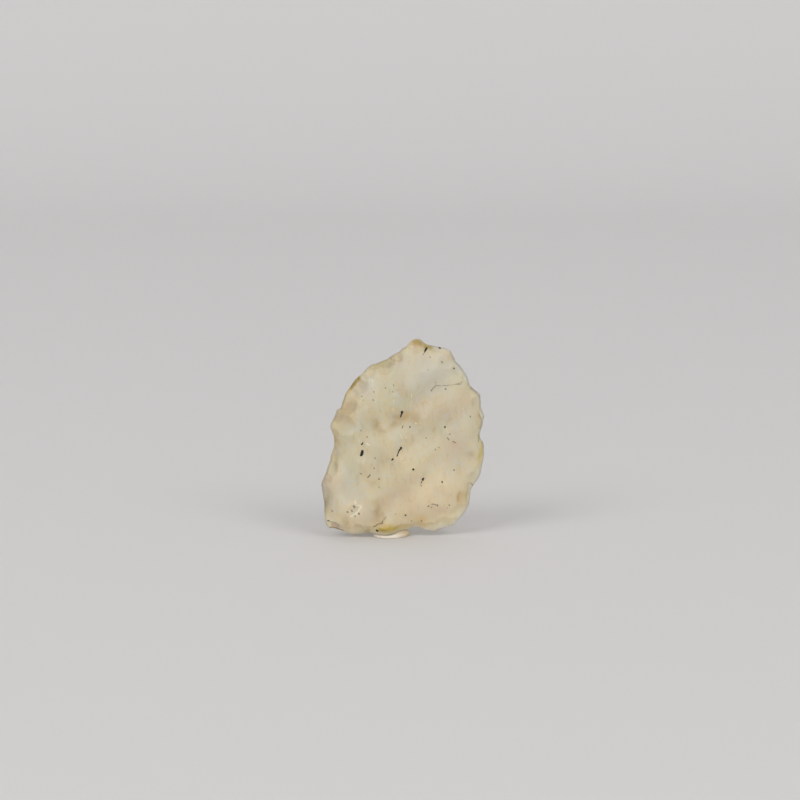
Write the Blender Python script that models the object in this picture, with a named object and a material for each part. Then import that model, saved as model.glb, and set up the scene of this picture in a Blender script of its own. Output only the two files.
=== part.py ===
# Libyan desert glass: one pale yellow flake of natural glass with a chipped edge, on a squashed dab of putty.
# The flake stands upright. X runs across it, Z is up, and the face that shows most looks towards -Y.
# The sizes below are millimetres, and the meshes are made in metres.

import math

import bmesh
import bpy
import numpy as np
from mathutils import Vector
from mathutils.geometry import delaunay_2d_cdt

METRES_PER_MM = 0.001

# Chips round the edge, clockwise from the top as seen from the front. Each row is one chip: where it
# starts (across, up), how far its arc bows out (minus is in), and how far its scar runs in from the edge
# over the front face and over the back face.
CHIPS = (
    (1.6, 35.3, 0.10, 2.6, 5.5),
    (3.0, 35.4, 0.00, 2.2, 0.0),
    (4.1, 34.5, 0.00, 1.2, 4.5),
    (7.0, 33.9, 0.10, 1.4, 0.0),
    (8.3, 33.3, 0.06, 2.8, 3.5),
    (9.2, 31.4, 0.10, 1.5, 6.0),
    (10.8, 29.3, 0.10, 0.9, 0.0),
    (11.5, 27.8, 0.00, 0.0, 2.0),
    (11.7, 27.1, -0.02, 1.6, 4.0),
    (13.5, 25.4, 0.05, 1.6, 5.0),
    (13.7, 22.9, 0.05, 1.0, 2.0),
    (14.3, 21.4, -0.07, 1.0, 3.0),
    (14.0, 19.9, 0.00, 0.8, 2.5),
    (13.5, 18.4, -0.05, 0.6, 0.0),
    (13.6, 17.5, 0.22, 1.0, 4.5),
    (14.2, 15.6, 0.13, 1.0, 6.5),
    (13.9, 12.7, 0.00, 1.2, 3.5),
    (13.6, 11.1, 0.10, 1.8, 3.0),
    (12.7, 9.4, -0.07, 1.4, 4.0),
    (11.9, 8.0, 0.04, 2.4, 5.0),
    (11.7, 5.9, 0.05, 1.0, 0.0),
    (11.3, 5.0, 0.06, 2.2, 4.5),
    (10.1, 3.3, -0.08, 1.0, 0.0),
    (9.4, 2.6, 0.18, 1.4, 3.0),
    (8.6, 1.9, -0.05, 2.2, 5.5),
    (5.9, 1.0, 0.06, 1.7, 3.0),
    (3.8, 1.2, -0.15, 1.4, 4.0),
    (1.9, 1.6, -0.12, 1.2, 0.0),
    (1.0, 1.1, -0.15, 1.6, 5.0),
    (-1.4, 0.8, 0.00, 0.0, 2.0),
    (-2.4, 0.6, 0.05, 1.2, 4.5),
    (-4.7, 0.7, 0.00, 0.0, 0.0),
    (-5.3, 0.7, -0.10, 1.6, 3.0),
    (-7.1, 0.6, 0.00, 2.2, 0.0),
    (-8.9, 0.6, 0.05, 1.4, 4.5),
    (-10.4, 1.0, 0.00, 0.8, 0.0),
    (-11.0, 1.2, -0.05, 1.6, 4.0),
    (-13.0, 1.6, 0.10, 1.3, 3.0),
    (-13.7, 2.8, 0.05, 1.5, 5.0),
    (-13.8, 5.9, 0.03, 1.8, 6.0),
    (-14.3, 9.3, 0.07, 0.8, 0.0),
    (-14.1, 10.3, 0.00, 1.4, 3.5),
    (-13.4, 11.9, 0.06, 1.8, 4.5),
    (-12.7, 13.9, 0.00, 0.0, 0.0),
    (-12.7, 14.4, 0.00, 1.5, 3.5),
    (-12.1, 16.1, -0.05, 1.2, 0.0),
    (-12.1, 17.8, -0.04, 1.3, 5.5),
    (-12.7, 19.6, 0.05, 0.7, 0.0),
    (-12.6, 20.4, -0.06, 4.2, 3.0),
    (-11.7, 22.4, 0.00, 0.0, 0.0),
    (-11.6, 22.8, 0.04, 1.2, 0.0),
    (-10.9, 23.2, 0.00, 2.6, 6.0),
    (-10.0, 25.8, 0.00, 2.4, 3.0),
    (-9.0, 27.2, 0.08, 2.6, 6.0),
    (-7.7, 28.9, 0.00, 1.6, 0.0),
    (-6.8, 29.7, 0.10, 1.8, 4.0),
    (-5.6, 30.9, 0.07, 1.4, 0.0),
    (-4.7, 31.1, 0.00, 2.4, 5.0),
    (-2.5, 32.0, 0.07, 1.2, 0.0),
    (-1.8, 32.6, 0.06, 1.6, 3.5),
    (-0.6, 33.3, 0.00, 0.8, 0.0),
    (-0.1, 33.9, 0.00, 0.0, 0.0),
    (0.5, 34.1, 0.00, 0.8, 2.5),
    (0.9, 34.6, 0.00, 0.0, 0.0),
    (1.3, 35.0, 0.00, 0.0, 0.0),
)
EDGE_SPACING = 0.56
EDGE_SAMPLE_SPACING = 0.25
SKIN_SPACING = 0.68
FIRST_RING = 0.965
CENTRE_UP = 17.5

# The lens between the two faces. Each face rises from the edge by its height, over its run.
FRONT_HEIGHT = 2.5
FRONT_RUN = 1.8
BACK_HEIGHT = 6.4
BACK_RUN = 5.0
THICKER_TO_LEFT = (0.030, 0.050)
SCAR_DEPTH = 0.58
SCAR_SPREAD = 0.60
SCAR_WIDENS = (0.22, 0.36)

# The sheet half way between the faces: turned a little, bowed back, and kicked forwards at the foot.
TURN_SLOPE = 0.04
BOW_BACK = 0.5
FOOT_FORWARD = 1.4
FOOT_ACROSS = -2.9
FOOT_WIDTH = 2.4
FOOT_RISE = 2.4
EDGE_WANDER = 0.28

# Long flake facets that cut the back down to a ridge: height at the middle, slope across, slope upwards.
BACK_FACETS = ((8.0, 0.10, 0.10), (4.0, -0.30, -0.06), (6.0, -0.15, 0.32))
FACET_SOFTNESS = 0.25

# Hollows in the front face and in the back face: across, up, half width, half height, depth.
FRONT_HOLLOWS = (
    (-8.4, 5.4, 1.3, 1.2, 0.45),
    (-6.2, 27.0, 1.9, 2.4, 0.22),
    (-4.6, 30.2, 2.3, 1.3, 0.30),
    (-0.3, 20.6, 3.6, 2.6, 0.24),
    (4.0, 24.9, 2.6, 3.2, 0.16),
    (7.9, 29.9, 2.2, 2.4, 0.26),
    (-7.2, 15.2, 1.0, 1.4, 0.24),
    (-0.5, 15.7, 1.3, 1.6, 0.20),
    (3.6, 10.4, 1.0, 1.2, 0.20),
    (9.4, 17.4, 3.0, 2.4, 0.16),
    (7.2, 7.6, 3.2, 2.2, 0.20),
    (-4.4, 3.4, 1.8, 2.4, 0.34),
)
BACK_HOLLOWS = (
    (-5.5, 22.5, 2.8, 3.4, 0.45),
    (5.0, 12.0, 3.4, 2.6, 0.40),
    (1.5, 27.5, 2.4, 2.2, 0.35),
    (-7.0, 9.0, 2.2, 1.8, 0.30),
    (7.5, 22.0, 1.6, 2.2, 0.30),
)

# Low waves that the wind wore into both faces.
WAVE_COUNT = 7
LONGEST_WAVE = 14.0
SHORTEST_WAVE = 4.0
WAVE_STEEPNESS = 0.011
WAVE_EDGE_FADE = 1.2
FRONT_WAVE_SEED = 11
BACK_WAVE_SEED = 23

# The dab of putty, squashed flat below and pressed by the flake above.
PAD_ACROSS = -2.07
PAD_BACK = 1.0
PAD_HALF_WIDTH = 3.15
PAD_HALF_DEPTH = 2.9
PAD_HEIGHT = 1.05
PAD_HEIGHT_SLOPE = 0.13
PAD_EDGE_HEIGHT = 0.32
PAD_FLAT_SHARE = 0.94
PAD_LOBE = 0.035
PAD_GAP = 0.3
PAD_POINTS_ROUND = 36
PAD_SIDE_RINGS = 3
PAD_TOP_RINGS = 7
PAD_SEARCH_UP = 4.0
PAD_SEARCH_STEP = 0.04

GLASS_COLOUR = (0.565, 0.491, 0.328, 1.0)
GLASS_ROUGHNESS = 0.32
GLASS_IOR = 1.46
GLASS_TRANSMISSION = 0.4
PUTTY_COLOUR = (0.84, 0.79, 0.71, 1.0)
PUTTY_ROUGHNESS = 0.45


def clear_scene():
    for item in list(bpy.data.objects):
        bpy.data.objects.remove(item, do_unlink=True)


def edge_points(spacing):
    # Each chip is a shallow arc from its own corner to the next one, in points about one spacing apart.
    points = []
    for index, (across, up, bow, _, _) in enumerate(CHIPS):
        next_across, next_up = CHIPS[(index + 1) % len(CHIPS)][:2]
        step_x = next_across - across
        step_z = next_up - up
        length = math.hypot(step_x, step_z)
        count = max(1, round(length / spacing))
        for number in range(count):
            share = number / count
            push = 4.0 * bow * share * (1.0 - share) / length
            points.append((across + share * step_x - push * step_z, up + share * step_z + push * step_x))
    return np.array(points)


EDGE_SAMPLES = edge_points(EDGE_SAMPLE_SPACING)


def distance_to_edge(x, z):
    # A smooth distance: every stretch of edge counts by the inverse cube of its distance, so the result is
    # the true distance close to the edge and levels out in the middle of the flake.
    ahead = np.roll(EDGE_SAMPLES, -1, axis=0)
    behind = np.roll(EDGE_SAMPLES, 1, axis=0)
    lengths = 0.5 * np.linalg.norm(ahead - behind, axis=1)
    away_x = x[..., None] - EDGE_SAMPLES[:, 0]
    away_z = z[..., None] - EDGE_SAMPLES[:, 1]
    away = np.sqrt(away_x ** 2 + away_z ** 2) + 1e-6
    return (0.5 * (lengths / away ** 3).sum(axis=-1)) ** -0.5


def scars(x, z, face):
    # How deep the point lies in the deepest scar, from 0 outside to 1 at the edge. A scar is half an ellipse
    # that starts along its chip and runs in from it; where two scars meet, a ridge is left.
    deepest = np.zeros_like(x)
    for index, chip in enumerate(CHIPS):
        run = chip[3 + face]
        if run == 0.0:
            continue
        next_chip = CHIPS[(index + 1) % len(CHIPS)]
        step = np.array((next_chip[0] - chip[0], next_chip[1] - chip[1]))
        length = np.linalg.norm(step)
        along = step / length
        middle_x = chip[0] + 0.5 * step[0]
        middle_z = chip[1] + 0.5 * step[1]
        sideways = (x - middle_x) * along[0] + (z - middle_z) * along[1]
        inwards = (x - middle_x) * along[1] - (z - middle_z) * along[0]
        half_width = SCAR_SPREAD * length + SCAR_WIDENS[face] * run
        depth = 1.0 - (sideways / half_width) ** 2 - (inwards / run) ** 2
        deepest = np.maximum(deepest, depth)
    return deepest


def waves(x, z, seed):
    # A few sines of different lengths, each in its own direction. A longer wave is a higher one.
    random = np.random.default_rng(seed)
    height = np.zeros_like(x)
    for number in range(WAVE_COUNT):
        share = number / (WAVE_COUNT - 1)
        length = LONGEST_WAVE * (SHORTEST_WAVE / LONGEST_WAVE) ** share
        direction = random.uniform(0.0, 2.0 * math.pi)
        phase = random.uniform(0.0, 2.0 * math.pi)
        along = x * math.cos(direction) + z * math.sin(direction)
        height += WAVE_STEEPNESS * length * np.sin(2.0 * math.pi * along / length + phase)
    return height


def hollows(x, z, places):
    # Shallow bowls with a soft rim.
    depth = np.zeros_like(x)
    for across, up, half_width, half_height, deep in places:
        away = ((x - across) / half_width) ** 2 + ((z - up) / half_height) ** 2
        depth += deep * np.clip(1.0 - away, 0.0, None) ** 1.5
    return depth


def soft_least(values):
    # The least of several heights, rounded a little where two of them cross.
    stacked = np.stack(values)
    least = stacked.min(axis=0)
    return least - FACET_SOFTNESS * np.log(np.exp(-(stacked - least) / FACET_SOFTNESS).sum(axis=0))


def face_heights(x, z):
    # How far the front face and the back face stand from the sheet half way between them.
    edge = distance_to_edge(x, z)
    fade = edge / (edge + WAVE_EDGE_FADE)
    front = FRONT_HEIGHT * (1.0 - THICKER_TO_LEFT[0] * x) * (1.0 - np.exp(-edge / FRONT_RUN))
    back = BACK_HEIGHT * (1.0 - THICKER_TO_LEFT[1] * x) * (1.0 - np.exp(-edge / BACK_RUN))
    facets = [rest + across * x + upwards * (z - CENTRE_UP) for rest, across, upwards in BACK_FACETS]
    back = soft_least([back] + facets)
    least_back = 0.2 * BACK_HEIGHT * (1.0 - np.exp(-edge / BACK_RUN))
    back = np.maximum(back, least_back)
    front = front * (1.0 - SCAR_DEPTH * scars(x, z, 0))
    back = back * (1.0 - SCAR_DEPTH * scars(x, z, 1))
    front += fade * (waves(x, z, FRONT_WAVE_SEED) - hollows(x, z, FRONT_HOLLOWS))
    back += fade * (waves(x, z, BACK_WAVE_SEED) - hollows(x, z, BACK_HOLLOWS))
    return front, back


def middle_sheet(x, z):
    # Y of the sheet on which the whole edge lies.
    bow = BOW_BACK * (1.0 - ((z - CENTRE_UP) / CENTRE_UP) ** 2)
    foot = FOOT_FORWARD * np.exp(-((x - FOOT_ACROSS) / FOOT_WIDTH) ** 2 - (z / FOOT_RISE) ** 2)
    wander = EDGE_WANDER * (np.sin(0.9 * x + 0.35 * z) + 0.6 * np.sin(0.5 * x - 0.8 * z + 1.3))
    return TURN_SLOPE * x + bow - foot + wander


def glass_mesh():
    # The edge and a first ring inside it are joined by strips; inside the ring each face is a net of nearly
    # equal triangles. Both faces use the same net, and the edge is shared.
    edge = edge_points(EDGE_SPACING)
    centre = np.array((0.0, CENTRE_UP))
    ring = centre + FIRST_RING * (edge - centre)
    net, triangles = triangle_net(ring)
    front, back = face_heights(net[:, 0], net[:, 1])
    middle = middle_sheet(net[:, 0], net[:, 1])
    count = len(edge)
    points = [(x, y, z) for (x, z), y in zip(edge, middle_sheet(edge[:, 0], edge[:, 1]))]
    points += [(x, y, z) for (x, z), y in zip(net, middle - front)]
    points += [(x, y, z) for (x, z), y in zip(net, middle + back)]
    front_start = count
    back_start = count + len(net)
    faces = []
    for a in range(count):
        b = (a + 1) % count
        faces.append((a, b, front_start + b, front_start + a))
        faces.append((b, a, back_start + a, back_start + b))
    for a, b, c in triangles:
        faces.append((front_start + a, front_start + b, front_start + c))
        faces.append((back_start + c, back_start + b, back_start + a))
    return points, faces


def triangle_net(ring):
    # The ring's own points come first and in order, then a lattice of points well inside it.
    low = ring.min(axis=0)
    high = ring.max(axis=0)
    row_height = SKIN_SPACING * math.sqrt(3.0) / 2.0
    lattice = []
    for row in range(math.ceil((high[1] - low[1]) / row_height)):
        shift = 0.5 * SKIN_SPACING * (row % 2)
        for column in range(math.ceil((high[0] - low[0]) / SKIN_SPACING)):
            lattice.append((low[0] + shift + column * SKIN_SPACING, low[1] + (row + 0.5) * row_height))
    lattice = np.array(lattice)
    inside = inside_loop(lattice, ring)
    nearest = np.linalg.norm(lattice[:, None, :] - ring[None, :, :], axis=2).min(axis=1)
    lattice = lattice[inside & (nearest > 0.62 * SKIN_SPACING)]
    points = np.concatenate((ring, lattice))
    sides = [(a, (a + 1) % len(ring)) for a in range(len(ring))]
    vectors = [Vector((x, z)) for x, z in points]
    result = delaunay_2d_cdt(vectors, sides, [], 1, 1e-6)
    places = np.array([tuple(place) for place in result[0]])
    return places, result[2]


def inside_loop(points, loop):
    # A point is inside where a line to its right crosses the loop an odd number of times.
    start = loop
    end = np.roll(loop, -1, axis=0)
    x = points[:, 0, None]
    z = points[:, 1, None]
    spans = (start[:, 1] > z) != (end[:, 1] > z)
    rise = end[:, 1] - start[:, 1]
    rise = np.where(rise == 0.0, 1e-12, rise)
    crossing = start[:, 0] + (z - start[:, 1]) / rise * (end[:, 0] - start[:, 0])
    return ((x < crossing) & spans).sum(axis=1) % 2 == 1


def glass_underside(x, y):
    # The lowest height at which the flake is above a point of the floor, searched upwards in small steps.
    levels = np.arange(0.0, PAD_SEARCH_UP, PAD_SEARCH_STEP)
    grid_x, grid_z = np.broadcast_arrays(x[:, None], levels[None, :])
    front, back = face_heights(grid_x, grid_z)
    middle = middle_sheet(grid_x, grid_z)
    within = inside_loop(np.stack((grid_x.ravel(), grid_z.ravel()), axis=1), EDGE_SAMPLES)
    within = within.reshape(grid_x.shape)
    solid = within & (y[:, None] > middle - front) & (y[:, None] < middle + back)
    heights = np.where(solid, grid_z, PAD_SEARCH_UP)
    return heights.min(axis=1)


def pad_mesh():
    # A squashed dome in rings from the middle of its flat underside to the middle of its top. The top is
    # the lower of the dome and the flake's underside less the gap, so the flake leaves its own print.
    rings = [(0.5 * PAD_FLAT_SHARE, 0.0), (PAD_FLAT_SHARE, 0.0)]
    for number in range(1, PAD_SIDE_RINGS + 1):
        turn = 0.5 * math.pi * (number / PAD_SIDE_RINGS - 1.0)
        share = PAD_FLAT_SHARE + (1.0 - PAD_FLAT_SHARE) * math.cos(turn)
        rings.append((share, PAD_EDGE_HEIGHT * (1.0 + math.sin(turn))))
    for number in range(1, PAD_TOP_RINGS):
        turn = 0.5 * math.pi * number / PAD_TOP_RINGS
        rings.append((math.cos(turn), PAD_EDGE_HEIGHT + (1.0 - PAD_EDGE_HEIGHT) * math.sin(turn)))
    round_angles = 2.0 * math.pi * np.arange(PAD_POINTS_ROUND) / PAD_POINTS_ROUND
    lobes = 1.0 + PAD_LOBE * (np.sin(2.0 * round_angles + 0.6) + 0.6 * np.sin(3.0 * round_angles + 2.0))
    x = [np.zeros(1)]
    y = [np.zeros(1)]
    height = [np.zeros(1)]
    for share, level in rings:
        x.append(PAD_HALF_WIDTH * share * lobes * np.cos(round_angles))
        y.append(PAD_HALF_DEPTH * share * lobes * np.sin(round_angles))
        height.append(np.full(PAD_POINTS_ROUND, level))
    x = np.concatenate(x + [np.zeros(1)])
    y = np.concatenate(y + [np.zeros(1)])
    height = np.concatenate(height + [np.ones(1)])
    z = height * (PAD_HEIGHT + PAD_HEIGHT_SLOPE * x)
    x = x + PAD_ACROSS
    y = y + PAD_BACK
    ceiling = np.full_like(z, PAD_SEARCH_UP)
    for side in (-PAD_GAP, 0.0, PAD_GAP):
        for forward in (-PAD_GAP, -0.5 * PAD_GAP, 0.0, 0.5 * PAD_GAP, PAD_GAP):
            ceiling = np.minimum(ceiling, glass_underside(x + side, y + forward))
    z = np.where(height > 0.0, np.minimum(z, ceiling - PAD_GAP), 0.0)
    faces = []
    last = len(x) - 1
    for a in range(PAD_POINTS_ROUND):
        b = (a + 1) % PAD_POINTS_ROUND
        faces.append((0, 1 + b, 1 + a))
        for level in range(len(rings) - 1):
            low = 1 + level * PAD_POINTS_ROUND
            high = low + PAD_POINTS_ROUND
            faces.append((low + a, low + b, high + b, high + a))
        top = 1 + (len(rings) - 1) * PAD_POINTS_ROUND
        faces.append((top + a, top + b, last))
    return list(zip(x, y, z)), faces


def make_object(name, points, faces, shift, material):
    # Builds the mesh in metres, splits its faces into triangles and turns them to point out.
    mesh = bpy.data.meshes.new(name)
    mesh.from_pydata([tuple(METRES_PER_MM * (np.array(point) - shift)) for point in points], [], faces)
    shape = bmesh.new()
    shape.from_mesh(mesh)
    bmesh.ops.triangulate(shape, faces=shape.faces[:])
    bmesh.ops.recalc_face_normals(shape, faces=shape.faces[:])
    shape.to_mesh(mesh)
    shape.free()
    mesh.shade_smooth()
    mesh.materials.append(material)
    made = bpy.data.objects.new(name, mesh)
    bpy.context.scene.collection.objects.link(made)
    return made


def make_material(name, colour, roughness, ior, transmission):
    material = bpy.data.materials.new(name)
    material.use_nodes = True
    shader = material.node_tree.nodes["Principled BSDF"]
    shader.inputs["Base Color"].default_value = colour
    shader.inputs["Roughness"].default_value = roughness
    shader.inputs["Metallic"].default_value = 0.0
    shader.inputs["IOR"].default_value = ior
    shader.inputs["Transmission Weight"].default_value = transmission
    material.diffuse_color = colour
    return material


def main():
    clear_scene()
    glass_points, glass_faces = glass_mesh()
    pad_points, pad_faces = pad_mesh()
    everything = np.array(glass_points + pad_points)
    shift = 0.5 * (everything.min(axis=0) + everything.max(axis=0))
    shift[2] = 0.0
    glass = make_material("Desert glass", GLASS_COLOUR, GLASS_ROUGHNESS, GLASS_IOR, GLASS_TRANSMISSION)
    putty = make_material("Mounting putty", PUTTY_COLOUR, PUTTY_ROUGHNESS, 1.5, 0.0)
    make_object("desert_glass", glass_points, glass_faces, shift, glass)
    make_object("putty_pad", pad_points, pad_faces, shift, putty)


main()
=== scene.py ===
import math

import bpy
import numpy as np
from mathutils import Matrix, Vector


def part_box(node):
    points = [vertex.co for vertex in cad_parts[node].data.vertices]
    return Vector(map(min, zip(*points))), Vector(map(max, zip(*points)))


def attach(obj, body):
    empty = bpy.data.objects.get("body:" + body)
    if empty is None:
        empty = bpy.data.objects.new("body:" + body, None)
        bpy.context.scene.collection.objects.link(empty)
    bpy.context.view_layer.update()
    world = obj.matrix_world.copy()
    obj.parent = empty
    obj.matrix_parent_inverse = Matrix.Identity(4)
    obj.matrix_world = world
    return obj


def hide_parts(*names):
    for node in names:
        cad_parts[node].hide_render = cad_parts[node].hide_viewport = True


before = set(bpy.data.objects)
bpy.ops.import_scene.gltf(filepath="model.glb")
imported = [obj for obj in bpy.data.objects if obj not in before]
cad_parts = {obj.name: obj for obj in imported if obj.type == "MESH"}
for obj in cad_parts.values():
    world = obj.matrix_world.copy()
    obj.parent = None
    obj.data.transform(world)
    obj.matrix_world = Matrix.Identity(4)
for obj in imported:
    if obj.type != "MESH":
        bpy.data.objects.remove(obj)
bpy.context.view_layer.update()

# A flake of Libyan desert glass, upright on a squashed dab of putty, on a pale sweep in soft studio light.
# Sizes are millimetres. X runs across the flake, Z is up, and the face that shows most looks towards -Y.

mm = 0.001
fullTurn = 2.0 * math.pi
quarterTurn = 0.5 * math.pi

# One row is one chip of the edge, clockwise from the top: where it starts (across, up), how far its arc
# bows out, and how far its scar runs in over the front face and over the back face.
chips = np.array([
    (1.6, 35.3, 0.10, 2.6, 5.5), (3.0, 35.4, 0.00, 2.2, 0.0), (4.1, 34.5, 0.00, 1.2, 4.5),
    (7.0, 33.9, 0.10, 1.4, 0.0), (8.3, 33.3, 0.06, 2.8, 3.5), (9.2, 31.4, 0.10, 1.5, 6.0),
    (10.8, 29.3, 0.10, 0.9, 0.0), (11.5, 27.8, 0.00, 0.0, 2.0), (11.7, 27.1, -0.02, 1.6, 4.0),
    (13.5, 25.4, 0.05, 1.6, 5.0), (13.7, 22.9, 0.05, 1.0, 2.0), (14.3, 21.4, -0.07, 1.0, 3.0),
    (14.0, 19.9, 0.00, 0.8, 2.5), (13.5, 18.4, -0.05, 0.6, 0.0), (13.6, 17.5, 0.22, 1.0, 4.5),
    (14.2, 15.6, 0.13, 1.0, 6.5), (13.9, 12.7, 0.00, 1.2, 3.5), (13.6, 11.1, 0.10, 1.8, 3.0),
    (12.7, 9.4, -0.07, 1.4, 4.0), (11.9, 8.0, 0.04, 2.4, 5.0), (11.7, 5.9, 0.05, 1.0, 0.0),
    (11.3, 5.0, 0.06, 2.2, 4.5), (10.1, 3.3, -0.08, 1.0, 0.0), (9.4, 2.6, 0.18, 1.4, 3.0),
    (8.6, 1.9, -0.05, 2.2, 5.5), (5.9, 1.0, 0.06, 1.7, 3.0), (3.8, 1.2, -0.15, 1.4, 4.0),
    (1.9, 1.6, -0.12, 1.2, 0.0), (1.0, 1.1, -0.15, 1.6, 5.0), (-1.4, 0.8, 0.00, 0.0, 2.0),
    (-2.4, 0.6, 0.05, 1.2, 4.5), (-4.7, 0.7, 0.00, 0.0, 0.0), (-5.3, 0.7, -0.10, 1.6, 3.0),
    (-7.1, 0.6, 0.00, 2.2, 0.0), (-8.9, 0.6, 0.05, 1.4, 4.5), (-10.4, 1.0, 0.00, 0.8, 0.0),
    (-11.0, 1.2, -0.05, 1.6, 4.0), (-13.0, 1.6, 0.10, 1.3, 3.0), (-13.7, 2.8, 0.05, 1.5, 5.0),
    (-13.8, 5.9, 0.03, 1.8, 6.0), (-14.3, 9.3, 0.07, 0.8, 0.0), (-14.1, 10.3, 0.00, 1.4, 3.5),
    (-13.4, 11.9, 0.06, 1.8, 4.5), (-12.7, 13.9, 0.00, 0.0, 0.0), (-12.7, 14.4, 0.00, 1.5, 3.5),
    (-12.1, 16.1, -0.05, 1.2, 0.0), (-12.1, 17.8, -0.04, 1.3, 5.5), (-12.7, 19.6, 0.05, 0.7, 0.0),
    (-12.6, 20.4, -0.06, 4.2, 3.0), (-11.7, 22.4, 0.00, 0.0, 0.0), (-11.6, 22.8, 0.04, 1.2, 0.0),
    (-10.9, 23.2, 0.00, 2.6, 6.0), (-10.0, 25.8, 0.00, 2.4, 3.0), (-9.0, 27.2, 0.08, 2.6, 6.0),
    (-7.7, 28.9, 0.00, 1.6, 0.0), (-6.8, 29.7, 0.10, 1.8, 4.0), (-5.6, 30.9, 0.07, 1.4, 0.0),
    (-4.7, 31.1, 0.00, 2.4, 5.0), (-2.5, 32.0, 0.07, 1.2, 0.0), (-1.8, 32.6, 0.06, 1.6, 3.5),
    (-0.6, 33.3, 0.00, 0.8, 0.0), (-0.1, 33.9, 0.00, 0.0, 0.0), (0.5, 34.1, 0.00, 0.8, 2.5),
    (0.9, 34.6, 0.00, 0.0, 0.0), (1.3, 35.0, 0.00, 0.0, 0.0),
])

# A pair of values is for the front face and for the back face.
flake = {
    "centreUp": 17.5,
    "sheetBack": -1.46,             # where the sheet between the faces lies, in the part's own frame
    "measureSpacing": 0.16,         # between the edge's points that distances are measured from
    "edgeSpacing": 0.08,            # between those that the mesh's own points are placed on
    "pointsRound": 560,
    "rings": (110, 62),
    "ringSteps": (0.62, 0.38),      # even steps inwards, and steps that grow
    "height": (2.5, 6.4),
    "run": (1.8, 5.0),
    "thickerToLeft": (0.030, 0.050),
    "leastBack": 0.2,               # what the facets leave of the back's height
    "scarDepth": 0.58,
    "scarSpread": 0.60,
    "scarWidens": (0.22, 0.36),
    "scarWear": 0.6,                # how much less the sand wore the scars
    "ripple": (0.75, 0.035),        # length and height of the rings in a scar
    "rippleTurn": 9.0,              # sets each scar's rings off from the next one's
    "rippleFade": 3.0,
    "shadeFade": 8.0,
    "shadeSeed": 5,
    "turnSlope": 0.04,
    "bowBack": 0.5,
    "foot": (1.4, -2.9, 2.4, 2.4),  # forwards, across, width, rise
    "edgeWander": 0.28,
    "wanderSines": ((1.0, 0.9, 0.35, 0.0), (0.6, 0.5, -0.8, 1.3)),  # share, turn per mm across and up, phase
    "backFacets": ((8.0, 0.10, 0.10), (4.0, -0.30, -0.06), (6.0, -0.15, 0.32)),
    "facetSoftness": 0.25,
    "waves": (7, 14.0, 4.0, 0.011),  # how many, longest, shortest, steepness
    "edgeFade": 1.2,
    "seeds": (11, 23),
    "dimples": ((2.2, 0.055), (0.9, 0.028), (0.42, 0.012)),   # size and height of the sand-worn texture
    "dimpleSeed": 100,
    "pitSeed": 200,
    "pitCount": 170,
    "pitAcross": (-14.0, 14.0),
    "pitUp": (0.5, 35.0),
    "pitRadius": (0.16, 0.5),       # least, and how much the largest has more
    "pitDepth": 0.16,               # for each mm of radius
}

# Hollows: across, up, half width, half height, depth.
hollowPlaces = (
    np.array([(-8.4, 5.4, 1.3, 1.2, 0.45), (-6.2, 27.0, 1.9, 2.4, 0.22), (-4.6, 30.2, 2.3, 1.3, 0.30),
              (-0.3, 20.6, 3.6, 2.6, 0.24), (4.0, 24.9, 2.6, 3.2, 0.16), (7.9, 29.9, 2.2, 2.4, 0.26),
              (-7.2, 15.2, 1.0, 1.4, 0.24), (-0.5, 15.7, 1.3, 1.6, 0.20), (3.6, 10.4, 1.0, 1.2, 0.20),
              (9.4, 17.4, 3.0, 2.4, 0.16), (7.2, 7.6, 3.2, 2.2, 0.20), (-4.4, 3.4, 1.8, 2.4, 0.34)]),
    np.array([(-5.5, 22.5, 2.8, 3.4, 0.45), (5.0, 12.0, 3.4, 2.6, 0.40), (1.5, 27.5, 2.4, 2.2, 0.35),
              (-7.0, 9.0, 2.2, 1.8, 0.30), (7.5, 22.0, 1.6, 2.2, 0.30)]),
)


def edgeLoop(spacing):
    # Each chip is a shallow arc to the next one: start + t*step + 4*bow*t*(1-t) outwards, t from 0 to 1.
    arcs = []
    for chip, following in zip(chips, np.roll(chips, -1, axis=0)):
        step = following[:2] - chip[:2]
        length = np.hypot(*step)
        count = max(1, round(length / spacing))
        t = (np.arange(count) / count)[:, None]
        outwards = np.array((-step[1], step[0])) / length
        arcs.append(chip[:2] + t * step + 4.0 * chip[2] * t * (1.0 - t) * outwards)
    return np.concatenate(arcs)


def evenLoop(loop, count):
    # The same loop, in count points an equal way apart along it.
    closed = np.vstack((loop, loop[:1]))
    way = np.concatenate(([0.0], np.cumsum(np.linalg.norm(np.diff(closed, axis=0), axis=1))))
    at = np.arange(count) * way[-1] / count
    return np.stack((np.interp(at, way, closed[:, 0]), np.interp(at, way, closed[:, 1])), axis=1)


edgeFine = edgeLoop(flake["measureSpacing"])


def awayFromEdge(x, z):
    # (half the sum of length / distance^3 over the edge)^(-1/2): the distance near the edge, level far in.
    lengths = 0.5 * np.linalg.norm(np.roll(edgeFine, -1, axis=0) - np.roll(edgeFine, 1, axis=0), axis=1)
    away = np.empty(len(x))
    atOnce = 4000                   # points in a block, to save memory
    tiny = 1e-9                     # keeps a point on the edge from dividing by nothing
    for start in range(0, len(x), atOnce):
        block = slice(start, start + atOnce)
        square = (x[block, None] - edgeFine[:, 0]) ** 2 + (z[block, None] - edgeFine[:, 1]) ** 2 + tiny
        away[block] = (0.5 * (lengths / square ** 1.5).sum(axis=1)) ** -0.5
    return away


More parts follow.
